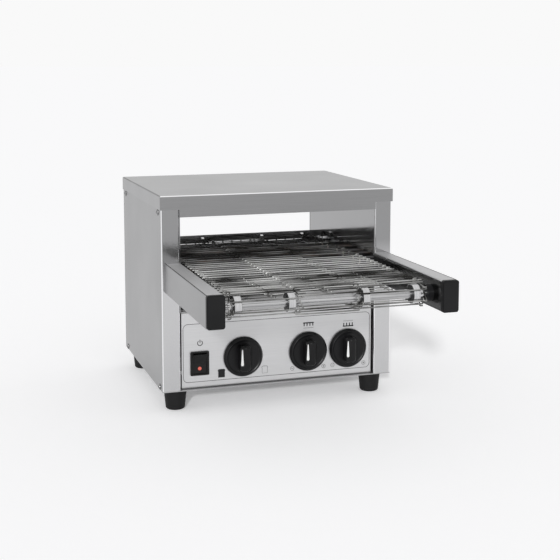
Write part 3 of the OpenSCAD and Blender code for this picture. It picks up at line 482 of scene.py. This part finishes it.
# Turns a finished bmesh into an object and frees it
def fromBmesh(name, bm, smooth=True):
    mesh = bpy.data.meshes.new(name)
    bm.to_mesh(mesh)
    bm.free()
    for polygon in mesh.polygons:
        polygon.use_smooth = smooth
    piece = bpy.data.objects.new(name, mesh)
    bpy.context.collection.objects.link(piece)
    return piece


# Round wires along several paths of points in metres, as one mesh
def wiresAlong(name, paths, radius, sides=1, closed=False):
    curve = bpy.data.curves.new(name, "CURVE")
    curve.dimensions = "3D"
    curve.bevel_depth = radius
    curve.bevel_resolution = sides
    curve.use_fill_caps = True
    for path in paths:
        spline = curve.splines.new("POLY")
        spline.points.add(len(path) - 1)
        for place, target in zip(path, spline.points):
            target.co = (*place, 1)
        spline.use_cyclic_u = closed
        spline.use_smooth = True
    holder = bpy.data.objects.new(name + "Path", curve)
    bpy.context.collection.objects.link(holder)
    mesh = bpy.data.meshes.new_from_object(holder.evaluated_get(bpy.context.evaluated_depsgraph_get()))
    mesh.name = name
    bpy.data.objects.remove(holder)
    bpy.data.curves.remove(curve)
    piece = bpy.data.objects.new(name, mesh)
    bpy.context.collection.objects.link(piece)
    return piece


# Path with each inner corner turned into a short arc of the given radius
def roundCorners(path, radius, steps=4):
    out = [path[0]]
    for before, corner, after in zip(path, path[1:], path[2:]):
        reach = min(radius, (corner - before).length * 0.45, (after - corner).length * 0.45)
        start = corner + (before - corner).normalized() * reach
        end = corner + (after - corner).normalized() * reach
        for step in range(steps + 1):
            t = step / steps
            out.append(start * (1 - t) ** 2 + corner * 2 * t * (1 - t) + end * t ** 2)
    return out + [path[-1]]


# The wire belt. Six wires go round each roller, so the belt's radius there equals its pitch
belt = {
    "pitch": 13.0, "wire": 1.7, "half": 120.1, "joint": 35.5, "jointHalf": 3.5, "tilt": 9.41, "reach": 16.2,
    "lift": 1.46, "edgeIn": 5.6, "hook": 4.0, "axisZ": 145.0, "rearY": 229.4, "frontY": -173.6, "run": 31,
    "roundRoller": 3, "step": 60, "bow": 0.22, "corner": 1.5, "seed": 11,
}


# Place and tilt of wire k: over the top from front to rear, round the rear roller, and back below
def wirePlace(k):
    pitch, run, z = belt["pitch"], belt["run"], belt["axisZ"]
    front, rear, below = belt["frontY"], belt["rearY"], run + belt["roundRoller"]
    if k <= run:
        return front + k * pitch, z + pitch, 0 if k < run else -30
    if below <= k <= below + run:
        return rear - (k - below) * pitch, z - pitch, -180 if k < below + run else -210
    if k < below:
        middle, angle = rear, 90 - belt["step"] * (k - run)
    else:
        middle, angle = front, 270 - belt["step"] * (k - below - run)
    turned = math.radians(angle)
    return middle + pitch * math.cos(turned), z + pitch * math.sin(turned), angle - 120


# One wire in millimetres at the origin: its sides lie across the belt, its middle one step ahead of them, and
# its bends and ends hook round the next wire
def beltWirePath(chance):
    tilt = math.radians(belt["tilt"])
    farU = belt["reach"] * math.cos(tilt)
    lowW = -belt["reach"] * math.sin(tilt)
    inner, outer = belt["joint"] - belt["jointHalf"], belt["joint"] + belt["jointHalf"]
    half, edge, lift = belt["half"], belt["half"] - belt["edgeIn"], belt["lift"]

    def bowed(x0, x1, u, w, count=5):
        rise = chance.uniform(-1, 1) * belt["bow"]
        drift = chance.uniform(-1, 1) * belt["bow"]
        out = []
        for i in range(1, count):
            swell = math.sin(math.pi * i / count)
            out.append(Vector((x0 + (x1 - x0) * i / count, u + drift * swell, w + rise * swell)))
        return out

    side = [
        Vector((outer, farU, lift)), Vector((outer, farU, lowW)), Vector((inner, 0, 0)),
        *bowed(inner, half, 0, 0, 7), Vector((half - 0.2, 0.2, 0)),
        Vector((edge, farU, lowW)), Vector((edge, farU, lift)), Vector((edge + belt["hook"], farU, lift)),
    ]
    middle = bowed(-outer, outer, farU, lift)
    otherSide = [Vector((-p.x, p.y, p.z)) for p in reversed(side)]
    return roundCorners(otherSide + middle + side, belt["corner"], 3)


beltChance = random.Random(belt["seed"])
beltPaths = []
for k in range(2 * (belt["run"] + belt["roundRoller"])):
    y, z, angle = wirePlace(k)
    c, s = math.cos(math.radians(angle)), math.sin(math.radians(angle))
    beltPaths.append([
        point(p.x, y + p.y * c - p.z * s, z + p.y * s + p.z * c) for p in beltWirePath(beltChance)
    ])
beltPiece = wiresAlong("beltWires", beltPaths, belt["wire"] / 2000)
finishPiece(beltPiece, "root", "beltWire", "bright_wire", "conveyor_belt")
print("belt:", len(beltPaths), "wires,", len(beltPiece.data.polygons), "faces")


# Dark wires along the rails' top outer edges, a painted shade of the gap between channel and cover
railGapShadow = {"x": 148.6, "z": 164.2, "ends": (-201, -1), "radius": 0.45}
gapShadowPaths = [[point(x, y, railGapShadow["z"]) for y in railGapShadow["ends"]] for x in (-railGapShadow["x"], railGapShadow["x"])]
gapShadows = wiresAlong("railGapShadows", gapShadowPaths, railGapShadow["radius"] / 1000)
finishPiece(gapShadows, "root", "hubSteel", "dark_steel")
print("rail seams drawn")


# The knobs: a turned skirt, a grip across it and a white pointer. left, right and gripLength are the grip's
knob = {
    "radius": 26.0, "back": 4.2, "z": 38.0, "skirt": 5.0, "height": 17.0, "left": -8.0, "right": 6.9,
    "gripLength": 33.0, "step": 0.9, "endRound": 4.0, "endDrop": 2.2, "endNarrow": 0.36,
    "places": {"speed": -48.3, "top_heat": 40.2, "bottom_heat": 95.8},
}
drop = {"x": -5.5, "top": 13.0, "bottom": -8.4, "wide": 1.75, "narrow": 0.65, "thick": 0.3, "edge": 0.1}


# Turns a piece drawn facing +z, in millimetres, to stand on the panel at x
def ontoPanel(bm, x, back, z):
    bmesh.ops.transform(bm, matrix=Matrix.Rotation(math.radians(90), 4, "X"), verts=bm.verts)
    bmesh.ops.scale(bm, vec=(0.001, 0.001, 0.001), verts=bm.verts)
    bmesh.ops.translate(bm, vec=point(x, back, z), verts=bm.verts)


# Turns a profile of (radius, height) once round the z axis
def spinProfile(bm, profile, steps):
    verts = [bm.verts.new((r, 0, h)) for r, h in profile]
    edges = [bm.edges.new(pair) for pair in zip(verts, verts[1:])]
    bmesh.ops.spin(
        bm, geom=verts + edges, cent=(0, 0, 0), axis=(0, 0, 1), dvec=(0, 0, 0), angle=math.tau, steps=steps,
        use_merge=True, use_duplicate=False,
    )
    bmesh.ops.remove_doubles(bm, verts=bm.verts, dist=0.001)
    bmesh.ops.recalc_face_normals(bm, faces=bm.faces)


# Edges at which the faces turn by more than the angle are shaded sharp
def sharpen(bm, angle):
    for edge in bm.edges:
        edge.smooth = edge.calc_face_angle(0) < math.radians(angle)


# Pulls an outline in the plane up to a plate from height low to high
def raisePlate(bm, outline, low, high):
    base = bm.faces.new([bm.verts.new((x, y, low)) for x, y in outline])
    grown = bmesh.ops.extrude_face_region(bm, geom=[base])
    verts = [v for v in grown["geom"] if isinstance(v, bmesh.types.BMVert)]
    bmesh.ops.translate(bm, vec=(0, 0, high - low), verts=verts)
    bmesh.ops.recalc_face_normals(bm, faces=bm.faces)
    return verts


# The skirt: a rounded foot, a raised ring and a dished face
def knobShape(bm):
    r, top = knob["radius"], knob["skirt"]
    spinProfile(bm, [
        (0, 0), (r - 0.6, 0), (r - 0.15, 0.2), (r, 0.6), (r, 1.5), (r - 0.25, 2.0), (r - 2.3, top - 0.6),
        (r - 2.7, top - 0.15), (r - 3.2, top), (r - 3.9, top - 0.2), (r - 4.4, top - 0.6), (r - 6, top - 0.8),
        (0, top - 0.8),
    ], 72)
    sharpen(bm, 40)


# The grip: a flat left half that carries the pointer, a small step, and a rounded crest
def gripShape(bm):
    left, right, top = knob["left"], knob["right"], knob["height"]
    flat = top - knob["step"]
    section = [
        (left, 3), (left + 0.1, top - 2.6), (left + 0.4, flat - 0.7), (left + 1.0, flat - 0.1),
        (left + 1.5, flat), (-1.9, flat), (-1.6, flat + 0.1), (-1.2, top - 0.25), (-0.8, top - 0.05),
        (0.6, top + 0.05), (2.4, top - 0.05), (4.2, top - 0.5), (5.6, top - 1.5), (right - 0.3, top - 3.4),
        (right, top - 5.5), (right, 3),
    ]
    half, ending = knob["gripLength"] / 2, knob["endRound"]
    nearEnd = [ending * share - half for share in (0.12, 0.35, 0.7, 1.0)]
    face = bm.faces.new([bm.verts.new((x, -half, h)) for x, h in section])
    for y in nearEnd + [-y for y in reversed(nearEnd)] + [half]:
        grown = bmesh.ops.extrude_face_region(bm, geom=[face])
        moved = [f for f in grown["geom"] if isinstance(f, bmesh.types.BMFace)][0]
        if y > nearEnd[0]:  # only the first face stays, as the grip's lower end
            bmesh.ops.delete(bm, geom=[face], context="FACES_ONLY")
        for v in moved.verts:
            v.co.y = y
        face = moved
    middle = (left + right) / 2
    for v in bm.verts:
        out = max(0.0, abs(v.co.y) - (half - ending)) / ending
        v.co.x = middle + (v.co.x - middle) * (1 - knob["endNarrow"] * out ** 2.4)
        if v.co.z > 8:
            v.co.z -= knob["endDrop"] * out ** 2.2
    bmesh.ops.recalc_face_normals(bm, faces=bm.faces)
    sharpen(bm, 38)


# White teardrop let into the grip's flat half, narrow end up
def dropShape(bm):
    outline = arc(drop["x"], drop["bottom"] + drop["wide"], drop["wide"], 176, 364, 14)
    outline += arc(drop["x"], drop["top"] - drop["narrow"], drop["narrow"], -4, 184, 8)
    face = knob["height"] - knob["step"]
    verts = raisePlate(bm, outline, face - 0.3, face + drop["thick"])
    rim = [e for e in bm.edges if all(v in verts for v in e.verts)]
    bmesh.ops.bevel(bm, geom=rim, offset=drop["edge"], segments=2, affect="EDGES", profile=0.5, material=-1)
    sharpen(bm, 50)


# Points on an arc about x, z, from the start angle to the end angle in degrees
def arc(x, z, r, start, end, steps=20):
    angles = [math.radians(start + (end - start) * i / steps) for i in range(steps + 1)]
    return [(x + r * math.cos(angle), z + r * math.sin(angle)) for angle in angles]


for label, x in knob["places"].items():
    for part, shape, finish, slotName, replaced in (
        ("KnobSkirt", knobShape, "knobPlastic", "black_plastic", "_knob"),
        ("KnobGrip", gripShape, "knobPlastic", "black_plastic", "_knob"),
        ("PointerDrop", dropShape, "pointerWhite", "white_plastic", "_pointer"),
    ):
        bm = bmesh.new()
        shape(bm)
        ontoPanel(bm, x, knob["back"], knob["z"])
        finishPiece(fromBmesh(label + part, bm), label + "_dial", finish, slotName, label + replaced)
print("knobs made")


# The side screws: a domed head with a socket, and a dark ring of shade where it meets the panel
screw = {"head": 3.5, "height": 2.0, "socket": 1.3, "depth": 1.0, "ring": 4.1, "ringHeight": 0.35}


def screwHead(bm):
    r, h, hole = screw["head"], screw["height"], screw["socket"]
    floorAt = h - screw["depth"]
    spinProfile(bm, [
        (0, floorAt), (hole, floorAt), (hole + 0.1, h - 0.2), (hole + 0.35, h - 0.08), (2.2, h - 0.3),
        (2.8, h - 0.68), (3.2, h - 1.05), (r - 0.05, h - 1.5), (r, 0.2), (r, -0.05), (0, -0.05),
    ], 32)
    sharpen(bm, 40)


# The ring of painted shade, and a dark disc of painted shade on the socket's floor
def screwShadeRing(bm):
    r, out, low, high = screw["head"] - 0.1, screw["ring"], -0.05, screw["ringHeight"]
    spinProfile(bm, [(r, low), (out, low), (out, high - 0.1), (out - 0.15, high), (r, high), (r, low)], 32)
    floorAt = screw["height"] - screw["depth"]
    spinProfile(bm, [(0, floorAt - 0.02), (1.2, floorAt - 0.02), (1.2, floorAt + 0.1), (0, floorAt + 0.1)], 24)
    sharpen(bm, 40)


screwLow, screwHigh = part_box("side_screws")
inset = screw["head"] / 1000
screwYs, screwZs = ((screwLow[i] + inset, screwHigh[i] - inset) for i in (1, 2))
for name, shape, finish, slotName, replaced in (
    ("sideScrewHeads", screwHead, "screwSteel", "polished_steel", ["side_screws"]),
    ("sideScrewShadeRings", screwShadeRing, "hubSteel", "dark_steel", []),
):
    single = bmesh.new()
    shape(single)
    pattern = bpy.data.meshes.new(name + "Pattern")
    single.to_mesh(pattern)
    single.free()
    bm = bmesh.new()
    for side in (-1, 1):
        turned = Matrix.Rotation(math.radians(90 * side), 4, "Y") @ Matrix.Scale(0.001, 4)
        x = side * (screwHigh[0] - screw["height"] / 1000)
        for y in screwYs:
            for z in screwZs:
                before = len(bm.verts)
                bm.from_mesh(pattern)
                bm.verts.ensure_lookup_table()
                placed = Matrix.Translation((x, y, z)) @ turned
                bmesh.ops.transform(bm, matrix=placed, verts=bm.verts[before:])
    bpy.data.meshes.remove(pattern)
    finishPiece(fromBmesh(name, bm), "root", finish, slotName, *replaced)
print("screws made")


# Printed marks on the panel, as (x, z) of the maker's frame. A line is its stroke's width
printing = {
    "face": 5.0, "flat": 0.12, "fineLine": 0.6, "combLine": 1.4, "barLine": 1.7, "faintLine": 0.5,
    "border": {"low": (-127, 9.5), "high": (127, 84.7), "round": 6, "line": 0.65},
    "power": {"x": -105, "z": 59.6, "radius": 3.2, "line": 1.1},
    "comb": {"step": 4, "teeth": 4, "overhang": 1.4},
    "topComb": {"x": 35, "tip": 71.4, "root": 75, "bar": 75.6, "faint": 68.9},
    "bottomComb": {"x": 90.5, "tip": 71.8, "root": 68.2, "bar": 67.4, "faint": 74.4},
    "dialEnds": [(18.7, 16.2, False), (62.2, 15.8, True), (74.7, 16.1, False), (118.8, 15.8, True)],
    "dialEnd": {"ring": 2.5, "arm": 1.2},
    "toast": [
        (-4.4, -5.4), (4.4, -5.4), (4.4, 2.2), (5.0, 3.4), (4.6, 4.8), (3.2, 5.6), (-3.2, 5.6), (-4.6, 4.8),
        (-5.0, 3.4), (-4.4, 2.2),
    ],
    "darkToast": (-77, 18), "lightToast": {"place": (-19, 18), "scale": (0.8, 0.85)},
}


# Printed strokes: round wires pressed almost flat into the panel's face
def printStrokes(name, paths, width, finish, closed=False):
    strokes = [[point(x, printing["face"], z) for x, z in path] for path in paths]
    piece = wiresAlong(name, strokes, width / 2000, 1, closed)
    faceY = point(0, printing["face"], 0).y
    for v in piece.data.vertices:
        v.co.y = faceY + (v.co.y - faceY) * printing["flat"] / (width / 2)
    finishPiece(piece, "root", finish, "black_plastic")


def roundedBox(low, high, r, steps=6):
    out = []
    for cx, cz, start in (
        (high[0] - r, high[1] - r, 0), (low[0] + r, high[1] - r, 90), (low[0] + r, low[1] + r, 180),
        (high[0] - r, low[1] + r, 270),
    ):
        out += arc(cx, cz, r, start, start + 90, steps)
    return out


border, power = printing["border"], printing["power"]
outline = roundedBox(border["low"], border["high"], border["round"])
printStrokes("printedBorder", [outline], border["line"], "ink", closed=True)
powerPaths = [
    arc(power["x"], power["z"], power["radius"], 125, 415),
    [(power["x"], power["z"] + 0.4), (power["x"], power["z"] + 4.4)],
]
printStrokes("powerMark", powerPaths, power["line"], "ink")

# A comb of heat strokes under or over its bar, for the top and the bottom heat
faintPaths = []
for label in ("top", "bottom"):
    spots, comb = printing[label + "Comb"], printing["comb"]
    xs = [spots["x"] + comb["step"] * i for i in range(comb["teeth"])]
    teeth = [[(x, spots["root"]), (x, spots["tip"])] for x in xs]
    printStrokes(label + "HeatMark", teeth, printing["combLine"], "ink")
    bar = [(xs[0] - comb["overhang"], spots["bar"]), (xs[-1] + comb["overhang"], spots["bar"])]
    printStrokes(label + "HeatBar", [bar], printing["barLine"], "ink")
    faintPaths.append([(xs[0] - 1, spots["faint"]), (xs[-1] + 1, spots["faint"])])
printStrokes("heatFaintLines", faintPaths, printing["faintLine"], "paleInk")

# Rings with a minus or a plus at the ends of the heat dials
dialEnds, ring, arm = printing["dialEnds"], printing["dialEnd"]["ring"], printing["dialEnd"]["arm"]
rings = [arc(x, z, ring, 0, 345) for x, z, _ in dialEnds]
printStrokes("dialEndRings", rings, printing["fineLine"], "paleInk", closed=True)
bars = [[(x - arm, z), (x + arm, z)] for x, z, _ in dialEnds]
uprights = [[(x, z - arm), (x, z + arm)] for x, z, plus in dialEnds if plus]
printStrokes("dialEndSigns", bars + uprights, printing["fineLine"], "ink")

# A light and a dark slice at the ends of the speed dial
light = printing["lightToast"]
(atX, atZ), (scaleX, scaleZ) = light["place"], light["scale"]
slicePath = [(atX + scaleX * x, atZ + scaleZ * z) for x, z in printing["toast"]]
printStrokes("lightToastMark", [slicePath], printing["fineLine"], "paleInk", closed=True)
bm = bmesh.new()
raisePlate(bm, printing["toast"], 0, printing["flat"])
ontoPanel(bm, printing["darkToast"][0], printing["face"], printing["darkToast"][1])
finishPiece(fromBmesh("darkToastMark", bm, False), "root", "ink", "black_plastic")
print("marks printed")


# Plain daylight room on white paper: glow and backdrop are what the camera and the steel see of them
stage = {
    "floor": 0.95, "floorHalf": 150, "glow": 0.17, "sky": 0.6, "backdrop": 0.947,
    "sun": 2.0, "sunAngle": 4, "sunTurn": (70, 0, -23.3),
}


# One for rays from the camera, from a reflection or through glass, else zero
def seenDirectly(tree):
    path = addNode(tree, "ShaderNodeLightPath")
    seen = mathNode(tree, "MAXIMUM", path.outputs["Is Camera Ray"], path.outputs["Is Glossy Ray"])
    return mathNode(tree, "MAXIMUM", seen, path.outputs["Is Transmission Ray"])


world = bpy.data.worlds.new("studio")
bpy.context.scene.world = world
world.use_nodes = True
tree = world.node_tree
tree.nodes.clear()
ends = addNode(tree, "ShaderNodeOutputWorld")
room = addNode(tree, "ShaderNodeBackground", Color=(1, 1, 1, 1), Strength=stage["sky"])
backdrop = addNode(tree, "ShaderNodeBackground", Color=(1, 1, 1, 1), Strength=stage["backdrop"])
mix = addNode(tree, "ShaderNodeMixShader")
tree.links.new(seenDirectly(tree), mix.inputs[0])
tree.links.new(room.outputs[0], mix.inputs[1])
tree.links.new(backdrop.outputs[0], mix.inputs[2])
tree.links.new(mix.outputs[0], ends.inputs["Surface"])

bm = bmesh.new()
bmesh.ops.create_grid(bm, x_segments=1, y_segments=1, size=stage["floorHalf"])
floor = fromBmesh("floor", bm, False)
paper, tree, shader, _ = startMaterial("floorPaper", grey(stage["floor"]), 0.0, 0.9)
shader.inputs["Specular IOR Level"].default_value = 0.0
shader.inputs["Emission Color"].default_value = (1, 1, 1, 1)
glow = mathNode(tree, "MULTIPLY", seenDirectly(tree), stage["glow"])
tree.links.new(glow, shader.inputs["Emission Strength"])
floor.data.materials.append(paper)

sunData = bpy.data.lights.new("keyLight", "SUN")
sunData.energy = stage["sun"]
sunData.angle = math.radians(stage["sunAngle"])
sun = bpy.data.objects.new("keyLight", sunData)
sun.rotation_euler = [math.radians(a) for a in stage["sunTurn"]]
bpy.context.collection.objects.link(sun)
print("stage set")
